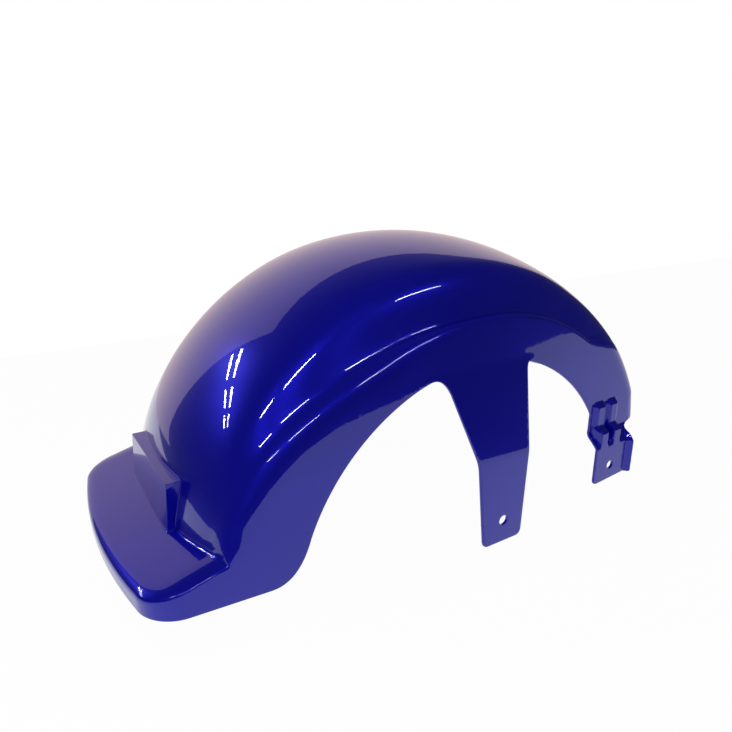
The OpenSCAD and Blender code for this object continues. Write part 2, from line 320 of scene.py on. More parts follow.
class ShellSizes(bpy.types.PropertyGroup):
    """Sizes of the moulding, measured from the wheel's axle."""
    fender_w: FloatProperty(
        name="Width", description="Width across the flat side skirts",
        default=0.269, unit="LENGTH")
    opening_r: FloatProperty(
        name="Opening Radius", description="Radius of the wheel opening",
        default=0.192, unit="LENGTH")
    crown_top: FloatProperty(
        name="Crown Height", description="Height of the crown over the axle",
        default=HIGH[2] + LEG_Z * MM, unit="LENGTH")
    crown_r: FloatProperty(
        name="Crown Radius", description="Radius of the crown line",
        default=0.2785, unit="LENGTH")
    dome_drop: FloatProperty(
        name="Dome Drop", description="Fall of the dome from crown to skirts",
        default=0.028, unit="LENGTH")
    skirt_h: FloatProperty(
        name="Skirt Height", description="Skirt over the opening, at the top",
        default=0.040, unit="LENGTH")
    front_angle: FloatProperty(
        name="Front Angle", description="Direction of the front edge",
        default=math.radians(20.0), subtype="ANGLE")
    nose_x: FloatProperty(
        name="Nose Reach", description="Reach of the skirts forward of the axle",
        default=0.234, unit="LENGTH")
    wall: FloatProperty(
        name="Wall", description="Thickness of the moulding", default=0.003, unit="LENGTH")
    tail_x: FloatProperty(
        name="Tail Reach", description="Distance from the axle back to the tail",
        default=-LOW[0] - LEG_X * MM, unit="LENGTH")
    tail_z: FloatProperty(
        name="Tail Height", description="Height of the shelf at its rear end",
        default=0.056, unit="LENGTH")
    shelf_tilt: FloatProperty(
        name="Shelf Tilt", description="Slope of the shelf down to the rear",
        default=math.radians(15.0), subtype="ANGLE")
    lip_z: FloatProperty(
        name="Lip Height", description="Height of the lip's lower edge",
        default=0.0355, unit="LENGTH")
    tail_bow: FloatProperty(
        name="Tail Bow", description="How much the rear edge bows out",
        default=0.010, unit="LENGTH")
    tail_corner_r: FloatProperty(
        name="Tail Corner", description="Radius of the tail's corners",
        default=0.033, unit="LENGTH")
    shelf_round: FloatProperty(
        name="Shelf Rounding", description="Height of the rounding from lip to shelf",
        default=0.0055, unit="LENGTH")
    shelf_soft: FloatProperty(
        name="Shelf Edge Width", description="Width over which the shelf bends down to its edge",
        default=0.020, unit="LENGTH")


class FixingSizes(bpy.types.PropertyGroup):
    """Sizes of the lamp box, the legs and the foot, measured from the wheel's axle."""
    lamp_w: FloatProperty(
        name="Lamp Box Width", description="Width of the box", default=0.120, unit="LENGTH")
    lamp_top: FloatProperty(
        name="Lamp Box Top", description="Height of the box over the axle",
        default=0.114, unit="LENGTH")
    lamp_x: FloatProperty(
        name="Lamp Panel", description="Distance from the axle back to the panel",
        default=0.272, unit="LENGTH")
    stance: FloatProperty(
        name="Stance", description="How far the bolting plates stand out",
        default=0.013, unit="LENGTH")
    leg_w: FloatProperty(
        name="Leg Width", description="Width of the leg's end", default=0.050, unit="LENGTH")
    leg_bend_z: FloatProperty(
        name="Leg Bend", description="Height where the leg turns upright",
        default=0.096, unit="LENGTH")
    leg_hole_d: FloatProperty(
        name="Leg Hole", description="Diameter of the leg's hole", default=0.010, unit="LENGTH")
    foot_x: FloatProperty(
        name="Foot Place", description="Foot hole, forward of the axle",
        default=0.186, unit="LENGTH")
    foot_z: FloatProperty(
        name="Foot Height", description="Foot hole, above the axle",
        default=0.044, unit="LENGTH")
    foot_hole_d: FloatProperty(
        name="Foot Hole", description="Diameter of the foot's hole", default=0.009, unit="LENGTH")


class PaintLook(bpy.types.PropertyGroup):
    """Colours of the paint and the studio."""
    blue: FloatVectorProperty(
        name="Paint", description="Colour of the paint", subtype="COLOR",
        default=(0.003, 0.003, 0.35))
    deep_blue: FloatVectorProperty(
        name="Deep Paint", description="Colour where the paint lies thicker",
        subtype="COLOR", default=(0.002, 0.002, 0.28))
    paper: FloatVectorProperty(
        name="Table", description="Colour of the table", subtype="COLOR",
        default=(0.93, 0.93, 0.93))
    backdrop: FloatVectorProperty(
        name="Backdrop", description="Colour of the backdrop, as the paint mirrors it",
        subtype="COLOR", default=(0.82, 0.66, 0.64))


def sizes_of(group):
    """The sizes of a group in the rules' millimetres and degrees."""
    sizes = {}
    for name, prop in group.__annotations__.items():
        unit = DEG if prop.keywords.get("subtype") == "ANGLE" else MM
        sizes[name] = round(getattr(group, name) / unit, 4)
    return sizes


def all_sizes():
    """The rules of the shell, and the sizes of what is fixed to it."""
    scene = bpy.context.scene
    return Rules(sizes_of(scene.fender_shell)), SimpleNamespace(**sizes_of(scene.fender_fixings))


def polar(r, a):
    return (r * math.cos(a * DEG), r * math.sin(a * DEG))


def bezier(points, t):
    """Point t of the curve with these control points."""
    while len(points) > 1:
        points = [[mix(p, q, t) for p, q in zip(a, b)] for a, b in zip(points, points[1:])]
    return tuple(points[0])


def along(points, steps):
    return [bezier(points, k / steps) for k in range(steps + 1)]


def direction(v):
    size = math.sqrt(sum(c * c for c in v))
    return tuple(c / size for c in v)


def plus(p, v, scale=1.0):
    return tuple(a + scale * b for a, b in zip(p, v))


ROUND_SHARE = 0.57  # where a rounded edge's two control points lie


def rounding(base, rise, edge, run):
    """Points of the rounded edge from the wall's top, along rise, to the roof, along run."""
    gap = [e - b for b, e in zip(base, edge)]
    rise, run = direction(rise), direction(run)
    up = ROUND_SHARE * sum(g * c for g, c in zip(gap, rise))
    out = -ROUND_SHARE * sum(g * c for g, c in zip(gap, run))
    return along([base, plus(base, rise, up), plus(edge, run, out), edge], ROUND_STEPS)


def dome_angles(rule):
    """Angles of the rows at the side edge, from the front to the crease's fillet."""
    last = rule.crease(rule.side_y) - CREASE_GAP
    return [mix(rule.front_angle, last, i / DOME_ROWS) for i in range(DOME_ROWS + 1)]


def wall_top(rule, a):
    """Where the flat skirt ends and its rounded edge starts, and the way up there, in x and z."""
    share = past(a, TAIL)
    up = direction([mix(p, q, share) for p, q in zip(polar(1.0, a), (0.0, 1.0))])
    return plus(polar(rule.skirt(a), a), up, -rule.round_down(a)), up


def dome_edge(rule, a):
    """Rounded edge of the left side at angle a, from the skirt up to the roof."""
    (x, z), up = wall_top(rule, a)
    y = rule.edge_y(a)
    r = rule.roof(a, y)
    slope = rule.slope(a, y)
    edge = (r * math.cos(a * DEG), y, r * math.sin(a * DEG))
    run = (slope * math.cos(a * DEG), 1.0, slope * math.sin(a * DEG))
    return rounding((x, rule.half_w, z), (up[0], 0.0, up[1]), edge, run)


def shelf_edge(rule, x, y, out, edge=None):
    """Rounded edge from the lip up to the shelf at [x, y], whose wall faces out."""
    d = rule.shelf_soft
    xi = x - d * out[0]
    edge = edge or (xi, y - d * out[1], rule.shelf(xi))
    run = (out[0], out[1], rule.tilt * out[0])
    return rounding((x, y, rule.shelf(x) - rule.shelf_round), (0.0, 0.0, 1.0), edge, run)


def fillet(first, middle, last):
    """Rows that turn from the first row to the last one, round the middle one."""
    return [[bezier(points, k / CREASE_STEPS) for points in zip(first, middle, last)]
            for k in range(1, CREASE_STEPS + 1)]


def crease_edges(rule):
    """Rounded edges of the left side through the fillet between dome and shelf."""
    x = rule.crease_x(rule.side_y)
    middle, last = (shelf_edge(rule, x - back, rule.half_w, (0.0, 1.0))
                    for back in (0.0, CREASE_FILLET))
    return fillet(dome_edge(rule, dome_angles(rule)[-1]), middle, last)


def corner_centre(rule):
    return rule.tail_bow + rule.tail_corner_r - rule.tail_x, rule.half_w - rule.tail_corner_r


def rear_x(rule, y, d):
    """Outline of the tail's rear, seen from above and drawn in by d."""
    x, corner_y = corner_centre(rule)
    bow = math.atan(2 * rule.tail_bow / rule.half_w)
    r = rule.tail_corner_r - d
    end_y = corner_y + r * math.sin(bow)
    v = abs(y)
    if v > end_y:
        return x - math.sqrt(max(0.0, r * r - (v - corner_y) ** 2))
    return x - r * math.cos(bow) - rule.tail_bow * (1 - (v / end_y) ** 2)


def rear_y(rule, d):
    return corner_centre(rule)[1] + (rule.tail_corner_r - d) * math.cos(CORNER_SPLIT * DEG)


def side_stations(rule):
    """Stations of the shelf's left side, as x, y and the way the lip faces."""
    start = rule.crease_x(rule.side_y) - CREASE_FILLET
    x, y = corner_centre(rule)
    r = rule.tail_corner_r
    straight = [(mix(start, x, k / SIDE_ROWS), rule.half_w, (0.0, 1.0))
                for k in range(1, SIDE_ROWS + 1)]
    turns = [CORNER_SPLIT * DEG * k / CORNER_ROWS for k in range(1, CORNER_ROWS + 1)]
    return straight + [(x - r * math.sin(p), y + r * math.cos(p), (-math.sin(p), math.cos(p)))
                       for p in turns]


ACROSS = [math.sin(math.pi / 2 * (2 * j / ROOF_COLUMNS - 1)) for j in range(ROOF_COLUMNS + 1)]


def mirrored(points):
    return [(x, -y, z) for x, y, z in points]


class Skin:
    """The outer skin: points in millimetres round the axle, and faces of them."""

    def __init__(self):
        self.points = []
        self.faces = []

    def mesh(self, points, faces):
        start = len(self.points)
        self.points += points
        self.faces += [tuple(start + k for k in face) for face in faces]

    def strip(self, rows):
        """Faces between rows of as many points each."""
        width = len(rows[0])
        faces = [(i + j, i + j + 1, i + j + width + 1, i + j + width)
                 for i in range(0, width * (len(rows) - 1), width) for j in range(width - 1)]
        self.mesh([point for row in rows for point in row], faces)

    def both_sides(self, rows):
        self.strip(rows)
        self.strip([mirrored(row) for row in rows])


def roof_grid(rule, dome_end):
    """Rows across the roof behind the dome's last row: the crease's fillet, then the shelf."""
    crease = [rule.crease_x(v * rule.side_y) for v in ACROSS]
    corner = [(x, v * rule.side_y, rule.shelf(x)) for x, v in zip(crease, ACROSS)]
    low = [plus(c, (-CREASE_FILLET, 0.0, -CREASE_FILLET * rule.tilt)) for c in corner]
    rows = [dome_end] + fillet(dome_end, corner, low)
    first = low[-1][0]
    inner = rear_y(rule, rule.shelf_soft)
    last = rear_x(rule, inner, rule.shelf_soft)
    for x, y, out in side_stations(rule):
        edge_x, edge_y = plus((x, y), out, -rule.shelf_soft)
        q = (edge_x - first) / (last - first)
        xs = [mix(start[0], rear_x(rule, v * inner, rule.shelf_soft), q)
              for v, start in zip(ACROSS, low)]
        rows.append([(xi, v * edge_y, rule.shelf(xi)) for xi, v in zip(xs, ACROSS)])
    return rows


def tail_skin(skin, rule, last_row):
    """Corners of the tail and its rear lip, down to their lower edge."""
    def column(x, y, out, edge=None):
        top = shelf_edge(rule, x, y, out, edge)
        return along([(x, y, rule.lip(x)), top[0]], WALL_STEPS)[:-1] + top

    corners = [column(*station) for station in side_stations(rule)[SIDE_ROWS - 1:]]
    skin.both_sides(corners)
    rear = []
    step = 0.1
    for v, edge in zip(ACROSS, last_row):
        y = v * rear_y(rule, 0.0)
        slope = (rear_x(rule, y + step, 0.0) - rear_x(rule, y - step, 0.0)) / (2 * step)
        rear.append(column(rear_x(rule, y, 0.0), y, direction((-1.0, slope)), edge))
    rear[0], rear[-1] = mirrored(corners[-1]), corners[-1]
    skin.strip(rear)


# The leg's outline, in millimetres round the axle: where it leaves the wheel opening and
# the points that draw its curves
LEG_BACK, LEG_BACK_PULL, LEG_BACK_ROOT = -60.0, -47.0, (-38.0, 168.0)
LEG_FRONT, LEG_FRONT_PULL, LEG_FRONT_ROOT = 60.0, 56.0, (56.0, 174.0)
LEG_KNEE, LEG_KNEE_OUT, LEG_KNEE_LOW = (-13.2, 105.3), 10.5, (9.3, 85.7)
LEG_SPREAD = 4.0  # how much wider its front is at the bend
LEG_END = 24.0  # how far it reaches under its bolt hole
LEG_ROUND, LEG_TAPER = 7.0, 0.5  # its rounded end

# How the legs lean out of the skirts
ROOT_DROP = 4.0  # they start this far under the arch's top
LEG_BENDS = (0.025, 0.05)  # softness of the bends at the root and at the upright end
LEG_SIDES = ((-70.0, 20.0), (70.0, -14.0))  # where the leaning fades out to both sides

# The foot: its edges from its hole, its corners from its lower front one, and the notch
# where its front edge turns towards the shell's
FOOT_BACK, FOOT_FRONT, FOOT_LOW = 25.0, 30.0, 19.0
FOOT_ROUND, FOOT_TAPER = 6.0, 0.5
FOOT_TOE = ((-3.0, 4.3), (0.0, 4.5), (0.0, 7.5))
FOOT_NOTCH = ((0.0, 76.0), (0.5, 79.5))
JOGGLE_TOP, JOGGLE_LOW, JOGGLE_BEND = 81.0, 69.0, 0.25  # heights and softness of its joggle
JOGGLE_BACK = 1.0  # how far behind the foot's rear edge it starts
FLANGE_W, FLANGE_FADE = 5.0, (82.0, -8.0)  # width of its turned-out front edge, and its top
RIB_PLACES = (-20.5, 0.5)  # where the two ribs start, from the foot's hole
RIB_W, RIB_STEP = 13.5, 5.0  # their width, and how far they stand out of the skirt
RIB_EDGE, RIB_SOFT = 2.6, 1.0  # width of their sides' slopes, and how far out those start
RIB_TOP, RIB_FADE = 118.0, 6.0
RIB_BEND_TOP, RIB_BEND, RIB_BEND_SOFT = 90.5, 5.0, 0.3  # where they bend out to the foot
LIP_END, LIP_TURN = -1.12, -0.99  # in opening radii, where the lip's edge turns up
ARC_STEP = 1.2  # degrees between the wheel opening's points
BORDER = 6.0  # how far the finer triangles reach round the legs and the foot
LEG_REGION = 75.0  # the legs' triangles reach this far back and forward of the axle


def dense(points, step):
    """The same line with points no further apart than step."""
    out = []
    for p, q in zip(points, points[1:]):
        n = max(1, math.ceil(math.dist(p, q) / step))
        out += along([p, q], n)[:-1]
    return out + [points[-1]]


def arc(r, start, end):
    """Points of the wheel opening between two angles, without its ends."""
    n = math.ceil(abs(end - start) / ARC_STEP)
    return [polar(r, mix(start, end, k / n)) for k in range(1, n)]


def angle_at(r, x):
    return math.acos(x / r) / DEG


def leg_outline(rule, fix):
    """The leg's outline, from the wheel opening behind it to the opening before it."""
    left, right = LEG_X - fix.leg_w / 2, LEG_X + fix.leg_w / 2
    end = LEG_Z - LEG_END
    bend = fix.leg_bend_z

    def opening(x):
        return polar(rule.opening_r, angle_at(rule.opening_r, x))

    back = along([opening(LEG_BACK), opening(LEG_BACK_PULL), LEG_BACK_ROOT], CURVE_STEPS)
    knee = along([LEG_KNEE, (left - LEG_KNEE_OUT, bend),
                  (left - LEG_KNEE_LOW[0], LEG_KNEE_LOW[1])], KNEE_STEPS)
    heel = along([(left - LEG_TAPER, end + LEG_ROUND), (left, end), (left + LEG_ROUND, end)],
                 END_STEPS)
    toe = along([(right - LEG_ROUND, end), (right, end), (right + LEG_TAPER, end + LEG_ROUND)],
                END_STEPS)
    front = along([LEG_FRONT_ROOT, opening(LEG_FRONT_PULL), opening(LEG_FRONT)], CURVE_STEPS)
    return dense(back + knee + heel + toe + [(right + LEG_SPREAD, bend)] + front, LEG_GAP)


def foot_outline(rule, fix, top):
    """The foot's outline, from the wheel opening down and round to the shell's front edge."""
    back, front = fix.foot_x - FOOT_BACK, fix.foot_x + FOOT_FRONT
    low = fix.foot_z - FOOT_LOW
    heel = along([(back, low + FOOT_ROUND), (back, low), (back + FOOT_ROUND, low + FOOT_TAPER)],
                 END_STEPS)
    toe = along([(front + x, low + z) for x, z in FOOT_TOE], TOE_STEPS)
    notch = along([(front + x, z) for x, z in FOOT_NOTCH] + [top], TOE_STEPS)
    start = polar(rule.opening_r, angle_at(rule.opening_r, back))
    return dense([start] + heel + toe + notch, FOOT_GAP)


def side_outline(rule, fix, footed):
    """The flat side's outline: its rounded top edge, the tail, the lip and the opening."""
    tops = [wall_top(rule, a)[0] for a in dome_angles(rule)]
    tops += [(edge[0][0], edge[0][2]) for edge in crease_edges(rule)]
    tops += [(x, rule.shelf(x) - rule.shelf_round) for x, _, _ in side_stations(rule)[:SIDE_ROWS]]
    r = rule.opening_r
    end, start = tops[-1][0], LIP_END * r
    column = along([tops[-1], (end, rule.lip(end))], WALL_STEPS)[1:]
    lip = dense([column[-1], (start, rule.lip(start))], LIP_GAP)[1:]
    bend = along([lip[-1], (LIP_TURN * r, rule.lip(-r)), polar(r, ARC_END)], LIP_STEPS)[1:]
    leg = leg_outline(rule, fix)
    outline = tops + column + lip + bend + arc(r, ARC_END, angle_at(r, LEG_BACK)) + leg
    if footed:
        foot = foot_outline(rule, fix, tops[0])
        return outline + arc(r, angle_at(r, LEG_FRONT), angle_at(r, foot[0][0])) + foot[:-1]
    front = dense([polar(r, rule.front_angle), tops[0]], FRONT_GAP)
    return outline + arc(r, angle_at(r, LEG_FRONT), rule.front_angle) + front[:-1]


def ring(x, z, d):
    """Points of a round hole."""
    return [plus((x, z), polar(d / 2, 360.0 * k / HOLE_POINTS)) for k in range(HOLE_POINTS)]


def inside(points, loops):
    """Which points lie inside the outline and outside its holes."""
    x, z = points[:, 0:1], points[:, 1:2]
    crossings = np.zeros(len(points), int)
    for loop in loops:
        a = np.array(loop)
        b = np.roll(a, -1, axis=0)
        rise = np.where(a[:, 1] == b[:, 1], NO_RISE, b[:, 1] - a[:, 1])
        across = (a[:, 1] > z) != (b[:, 1] > z)
        cut = (b[:, 0] - a[:, 0]) * (z - a[:, 1]) / rise + a[:, 0]
        crossings += (across & (x < cut)).sum(axis=1)
    return crossings % 2 == 1


ROW_SHARE = 0.866  # rows of even triangles lie this share of their side apart
CLEAR_SHARE = 0.55  # inner points keep this share of it from the outline


def inner_points(loops, step, wanted):
    """Staggered points inside the outline, step apart, in the region that wanted picks."""
    border = np.array([p for loop in loops for p in loop])
    low, high = border.min(axis=0), border.max(axis=0)
    points = []
    for row, z in enumerate(np.arange(low[1], high[1], ROW_SHARE * step)):
        points += [(x, z) for x in np.arange(low[0] + row % 2 * step / 2, high[0], step)
                   if wanted(x, z)]
    points = np.array(points)
    points = points[inside(points, loops)]
    gaps = np.array([np.hypot(*(border - p).T).min() for p in points])
    return [tuple(p) for p in points[gaps > CLEAR_SHARE * step]]


def fill(loops, inner):
    """Triangles that fill the outline, the first loop, and leave out the holes."""
    points = [p for loop in loops for p in loop]
    edges = []
    for loop in loops:
        start = len(edges)
        edges += [(start + k, start + (k + 1) % len(loop)) for k in range(len(loop))]
    result = delaunay_2d_cdt([Vector(p) for p in points + inner], edges, [], 0, SAME)
    verts = [tuple(v) for v in result[0]]
    faces = [tuple(f) for f in result[2]]
    middles = np.array([[sum(verts[k][c] for k in f) / 3 for c in (0, 1)] for f in faces])
    return verts, [f for f, keep in zip(faces, inside(middles, loops)) if keep]


def ramp(t, soft, end=None):
    """Rises from 0 to 1 as t does, with soft ends."""
    return smooth_max(t, 0.0, soft) - smooth_max(t - 1.0, 0.0, end or soft)


def side_height(rule, fix, x, z, footed):
    """How far the moulding's side stands out from the flat skirt."""
    start = rule.opening_r - ROOT_DROP
    leg = ramp((start - z) / (start - fix.leg_bend_z), *LEG_BENDS)
    height = fix.stance * leg * past(x, LEG_SIDES[0]) * past(x, LEG_SIDES[1])
    if not footed or x < fix.foot_x - FOOT_BACK - JOGGLE_BACK:
        return height
    height = fix.stance * ramp((JOGGLE_TOP - z) / (JOGGLE_TOP - JOGGLE_LOW), JOGGLE_BEND)
    rib = RIB_STEP * past(z, (RIB_TOP, -RIB_FADE))
    rib = mix(rib, fix.stance, ramp((RIB_BEND_TOP - z) / RIB_BEND, RIB_BEND_SOFT))
    for place in RIB_PLACES:
        start = fix.foot_x + place
        share = past(x, (start - RIB_SOFT, RIB_EDGE))
        share *= past(x, (start + RIB_W + RIB_SOFT, -RIB_EDGE))
        height = max(height, mix(height, rib, share))
    flange = past(x, (fix.foot_x + FOOT_FRONT - FLANGE_W, FLANGE_W)) * past(z, FLANGE_FADE)
    return height + FLANGE * flange


def side_skin(skin, rule, fix, footed):
    """One flat side with its leg, and the foot on the right side."""
    loops = [side_outline(rule, fix, footed), ring(LEG_X, LEG_Z, fix.leg_hole_d)]
    if footed:
        loops.append(ring(fix.foot_x, fix.foot_z, fix.foot_hole_d))

    def step_at(x, z):
        if footed and x > fix.foot_x - FOOT_BACK - BORDER and z < RIB_TOP + BORDER:
            return FINE
        return MEDIUM if abs(x) < LEG_REGION and z < rule.opening_r + BORDER else COARSE

    inner = []
    for step in (COARSE, MEDIUM, FINE) if footed else (COARSE, MEDIUM):
        inner += inner_points(loops, step, lambda x, z: step_at(x, z) == step)
    verts, faces = fill(loops, inner)
    points = [(x, rule.half_w + side_height(rule, fix, x, z, footed), z) for x, z in verts]
    skin.mesh(mirrored(points) if footed else points, faces)


def dome_point(rule, s, v):
    """Point of the dome: s runs from the front edge to the crease, v from side to side."""
    y = v * rule.edge_y(mix(rule.front_angle, rule.crease(rule.side_y) - CREASE_GAP, s))
    first = rule.front_angle + FRONT_ARCH * (1.0 - v * v * v * v)
    a = mix(first, rule.crease(v * rule.side_y) - CREASE_GAP, s)
    r = rule.roof(a, y)
    return r * cos_of(a), y, r * sin_of(a)


def node_of(tree, kind, **inputs):
    """A node with its inputs linked or set by name."""
    node = tree.nodes.new(kind)
    for name, value in inputs.items():
        socket = node.inputs[name.replace("_", " ")]
        value = value.socket if is_field(value) else value
        if isinstance(value, bpy.types.NodeSocket):
            tree.links.new(value, socket)
        else:
            socket.default_value = value
    return node


def new_tree(name, inputs):
    """A geometry tree with these named inputs, given as name: kind of socket."""
    tree = bpy.data.node_groups.new(name, "GeometryNodeTree")
    tree.interface.new_socket("Geometry", in_out="OUTPUT", socket_type="NodeSocketGeometry")
    for label, kind in inputs.items():
        tree.interface.new_socket(label, in_out="INPUT", socket_type="NodeSocket" + kind)
    return tree, tree.nodes.new("NodeGroupInput").outputs


def close_tree(tree, geometry, material):
    """Ends a tree in Realize Instances and Set Material."""
    real = node_of(tree, "GeometryNodeRealizeInstances", Geometry=geometry)
    painted = node_of(tree, "GeometryNodeSetMaterial", Geometry=real.outputs[0], Material=material)
    outlet = tree.nodes.new("NodeGroupOutput")
    tree.links.new(painted.outputs[0], outlet.inputs[0])
    return tree


def run_tree(obj, tree, values):
    """Gives an object the tree's result as a plain mesh."""
    modifier = obj.modifiers.new(tree.name, "NODES")
    modifier.node_group = tree
    for item in tree.interface.items_tree:
        if item.in_out == "INPUT" and item.name in values:
            modifier[item.identifier] = values[item.name]
    return bake(obj)


def swap_mesh(obj, mesh):
    """Gives an object another mesh and removes its old one."""
    old, obj.data = obj.data, mesh
    bpy.data.meshes.remove(old)
    mesh.name = obj.name


def bake(obj):
    """Applies all the modifiers of an object."""
    graph = bpy.context.evaluated_depsgraph_get()
    mesh = bpy.data.meshes.new_from_object(obj.evaluated_get(graph), depsgraph=graph)
    obj.modifiers.clear()
    swap_mesh(obj, mesh)
    return obj


def new_object(name, verts=(), faces=(), edges=()):
    mesh = bpy.data.meshes.new(name)
    mesh.from_pydata(list(verts), list(edges), list(faces))
    obj = bpy.data.objects.new(name, mesh)
    bpy.context.collection.objects.link(obj)
    return obj


def placed(point):
    """Moves a point from millimetres round the axle into the frame's metres."""
    x, y, z = point
    return ((x - LEG_X) * MM, y * MM, (z - LEG_Z) * MM)


def size_labels():
    return {name: prop.keywords["name"] for name, prop in ShellSizes.__annotations__.items()}


def dome_tree(material):
    """The dome as a rule: a grid whose points are put where dome_point says. Its inputs are
    in millimetres and degrees."""
    labels = size_labels()
    tree, inlets = new_tree("dome_rule", dict.fromkeys(labels.values(), "Float")
                            | {"Rows": "Int", "Columns": "Int"})
    rule = Rules({name: Field(tree, inlets[label]) for name, label in labels.items()})
    grid = node_of(tree, "GeometryNodeMeshGrid", Size_X=1.0, Size_Y=1.0,
                   Vertices_X=inlets["Rows"], Vertices_Y=inlets["Columns"])
    place = tree.nodes.new("GeometryNodeInputPosition")
    split = node_of(tree, "ShaderNodeSeparateXYZ", Vector=place.outputs[0])
    s = Field(tree, split.outputs["X"]) + 0.5
    v = sin_of(Field(tree, split.outputs["Y"]) * 180.0)
    x, y, z = placed(dome_point(rule, s, v))
    point = node_of(tree, "ShaderNodeCombineXYZ", X=x, Y=y, Z=z)
    moved = node_of(tree, "GeometryNodeSetPosition", Geometry=grid.outputs["Mesh"],
                    Position=point.outputs[0])
    return close_tree(tree, moved.outputs[0], material)


def dome_mesh(material):
    labels = size_labels()
    sizes = sizes_of(bpy.context.scene.fender_shell)
    values = {labels[name]: value for name, value in sizes.items()}
    values |= {"Rows": DOME_ROWS + 1, "Columns": ROOF_COLUMNS + 1}
    obj = run_tree(new_object("dome"), dome_tree(material), values)
    mesh = obj.data
    bpy.data.objects.remove(obj)
    return mesh


RIM_ROUND = 0.8  # rounding of the moulding's free edges
WINDOW_TOP = 111.0  # the lamp box is open into the arch up to this height
WINDOW_LOW = (6.0, 6.0, 12.0)  # how far round the window's lower rear corner cuts reach
WINDOW_HIGH = (60.0, 6.0, 8.0)  # and round its upper front one
SHARP = 44.0  # edges over this many degrees stay sharp


def build_skin(rule, fix):
    """The open outer skin, but for the dome: rounded edges, shelf, lip and sides."""
    skin = Skin()
    edges = [dome_edge(rule, a) for a in dome_angles(rule)] + crease_edges(rule)
    skin.both_sides(edges)
    stations = side_stations(rule)[:SIDE_ROWS]
    skin.both_sides([edges[-1]] + [shelf_edge(rule, *station) for station in stations])
    rows = roof_grid(rule, [dome_point(rule, 1.0, v) for v in ACROSS])
    skin.strip(rows)
    tail_skin(skin, rule, rows[-1])
    side_skin(skin, rule, fix, footed=False)
    side_skin(skin, rule, fix, footed=True)
    return skin


def skin_object(name, skin, upward, extra=None):
    """An object of the skin and of an extra mesh, its doubles merged and its faces turned
    outwards: upward ranks the faces by how surely they look up."""
    obj = new_object(name, [placed(p) for p in skin.points], skin.faces)
    bm = bmesh.new()
    bm.from_mesh(obj.data)
    if extra:
        bm.from_mesh(extra)
    bmesh.ops.remove_doubles(bm, verts=bm.verts, dist=MERGE)
    bmesh.ops.recalc_face_normals(bm, faces=bm.faces)
    if max(bm.faces, key=upward).normal.z < 0:
        bmesh.ops.reverse_faces(bm, faces=bm.faces)
    bm.to_mesh(obj.data)
    bm.free()
    return obj


def cut_window(obj, rule, fix):
    """Opens the shell under the lamp box, as the moulding's hollow box does."""
    half = fix.lamp_w / 2 - rule.wall
    back = -fix.lamp_x + rule.wall
    low = placed(plus((back, -half, rule.shelf(back)), WINDOW_LOW, -1.0))
    high = placed(plus((back, half, WINDOW_TOP), WINDOW_HIGH))
    planes = [((back, 0, 0), (-1, 0, 0)), ((0, half, 0), (0, 1, 0)),
              ((0, -half, 0), (0, -1, 0)), ((0, 0, WINDOW_TOP), (0, 0, 1))]
    planes = [(Vector(placed(p)), Vector(n)) for p, n in planes]
    bm = bmesh.new()
    bm.from_mesh(obj.data)

    def near():
        return [f for f in bm.faces if all(
            lo < c < hi for lo, c, hi in zip(low, f.calc_center_median(), high))]

    for point, normal in planes:
        faces = near()
        geom = set(faces)
        for f in faces:
            geom.update(f.edges)
            geom.update(f.verts)
        bmesh.ops.bisect_plane(bm, geom=list(geom), plane_co=point, plane_no=normal)
    gone = [f for f in near() if all(
        (f.calc_center_median() - point).dot(normal) < 0 for point, normal in planes)]
    bmesh.ops.delete(bm, geom=gone, context="FACES")
    bm.to_mesh(obj.data)
    bm.free()


def add_wall(obj, wall):
    """Gives a sheet its wall, inwards, by a modifier."""
    solid = obj.modifiers.new("wall", "SOLIDIFY")
    solid.thickness = wall * MM
    solid.offset = -1.0
    solid.use_even_offset = True
    solid.use_quality_normals = True
    return solid


def unit_rows(vectors):
    return vectors / np.linalg.norm(vectors, axis=1)[:, None]


def thicken(obj, wall):
    """Gives the open skin its wall, inwards, and rounds the rim between its two sides."""
    skin = obj.data
    count = len(skin.vertices)
    faces = [tuple(p.vertices) for p in skin.polygons]
    solid = add_wall(obj, wall)
    solid.use_rim = False
    solid.thickness_clamp = 0.0
    bake(obj)
    points = np.array([v.co[:] for v in obj.data.vertices])
    outer, inner = points[:count].copy(), points[count:].copy()
    used = {(f[k], f[(k + 1) % len(f)]) for f in faces for k in range(len(f))}
    rim = [(i, j) for i, j in used if (j, i) not in used]
    ends = sorted({i for edge in rim for i in edge})
    place = {i: k for k, i in enumerate(ends)}
    depth = unit_rows(outer - inner)
    away = np.zeros_like(outer)
    for i, j in rim:
        side = np.cross(outer[j] - outer[i], depth[i] + depth[j])
        away[i] += side / np.linalg.norm(side)
        away[j] += side / np.linalg.norm(side)
    out, n = unit_rows(away[ends]), depth[ends]
    r = RIM_ROUND * MM
    near, far = outer[ends], inner[ends]
    soft = 1.0 - math.sqrt(0.5)
    rings = [near - r * soft * (out + n), near - r * n, far + r * n, far - r * soft * (out - n)]
    outer[ends] -= r * out
    inner[ends] -= r * out
    size = len(ends)
    verts = np.concatenate([outer, inner] + rings)
    shell = faces + [tuple(count + k for k in reversed(f)) for f in faces]
    for i, j in rim:
        starts = [2 * count + k * size for k in range(len(rings))]
        chain = [(i, j)] + [(start + place[i], start + place[j]) for start in starts]
        chain.append((count + i, count + j))
        shell += [(q0, p0, p1, q1) for (p0, q0), (p1, q1) in zip(chain, chain[1:])]
    mesh = bpy.data.meshes.new(obj.name)
    mesh.from_pydata([tuple(v) for v in verts], [], shell)
    swap_mesh(obj, mesh)


